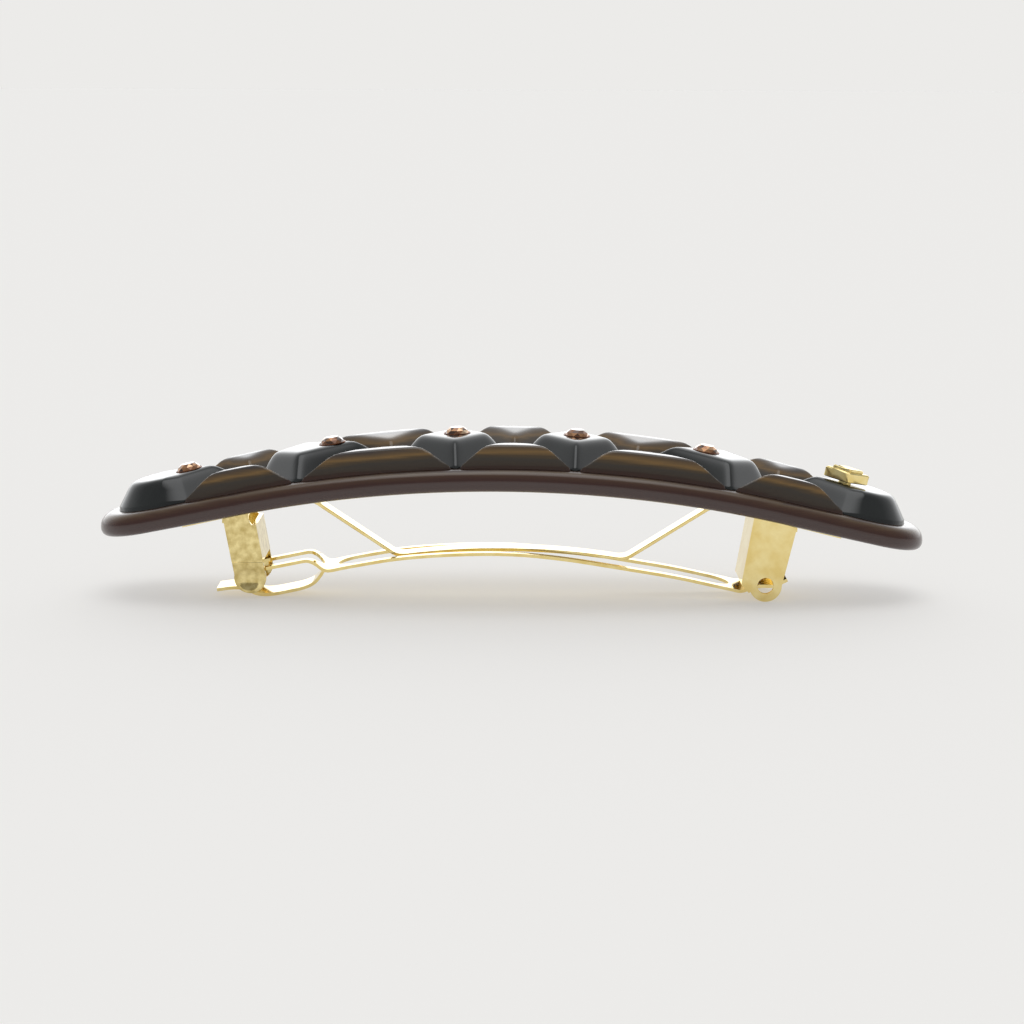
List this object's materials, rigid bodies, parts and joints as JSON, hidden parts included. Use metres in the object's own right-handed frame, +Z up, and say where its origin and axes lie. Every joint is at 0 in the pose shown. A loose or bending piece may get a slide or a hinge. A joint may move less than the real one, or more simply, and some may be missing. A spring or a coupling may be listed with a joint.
{
  "type": "hair barrette",
  "caption": "Arched oval barrette with a quilted top of glossy pads, round stones and a gilt ornament, on a spring clasp with latch and hinged arm.",
  "frame": {"origin": "bottom centre of the whole object's box: below mid-length, at the lowest point of the closed clasp", "axes": "+X along the barrette from the latch to the hinge, +Y from front to back, +Z up out of the decorated face"},
  "size_m": [0.102, 0.0216, 0.0216],
  "materials": {
    "plate_acetate": "polished dark brown acetate",
    "dark_resin": "polished black resin",
    "horn_acetate": "polished streaked horn acetate",
    "amber_crystal": "faceted amber glass",
    "gilt_metal": "polished pale gilt steel"
  },
  "bodies": {
    "root": {"plate": "plate_acetate", "lozenge_pad_1": "dark_resin", "lozenge_pad_2": "dark_resin", "lozenge_pad_3": "dark_resin", "lozenge_pad_4": "dark_resin", "lozenge_pad_5": "dark_resin", "lozenge_pad_6": "dark_resin", "front_pad_1": "horn_acetate", "front_pad_2": "horn_acetate", "front_pad_3": "horn_acetate", "front_pad_4": "horn_acetate", "front_pad_5": "horn_acetate", "back_pad_1": "horn_acetate", "back_pad_2": "horn_acetate", "back_pad_3": "horn_acetate", "back_pad_4": "horn_acetate", "back_pad_5": "horn_acetate", "crystal_1": "amber_crystal", "crystal_2": "amber_crystal", "crystal_3": "amber_crystal", "crystal_4": "amber_crystal", "crystal_5": "amber_crystal", "ornament": "gilt_metal", "base_strip": "gilt_metal", "latch_bracket": "gilt_metal", "hinge_bracket": "gilt_metal", "bracket_rivets": "gilt_metal", "tension_bow": "gilt_metal"},
    "arm": {"clip_arm": "gilt_metal"},
    "front_release": {"release_pad_front": "gilt_metal"},
    "rear_release": {"release_pad_rear": "gilt_metal"}
  },
  "joints": [
    {"name": "arm_hinge", "type": "hinge", "parent": "root", "child": "arm", "pos_m": [0.03135, 0, 0.00283], "axis": [0, -1, 0], "range_deg": [0, 80]},
    {"name": "front_squeeze", "type": "hinge", "parent": "root", "child": "front_release", "pos_m": [-0.0321, -0.00385, 0.00465], "axis": [1, 0, 0], "range_deg": [0, 5], "stiffness_Nm_per_rad": 0.045},
    {"name": "rear_squeeze", "type": "hinge", "parent": "root", "child": "rear_release", "pos_m": [-0.0321, 0.00385, 0.00465], "axis": [-1, 0, 0], "range_deg": [0, 5], "stiffness_Nm_per_rad": 0.045}
  ]
}
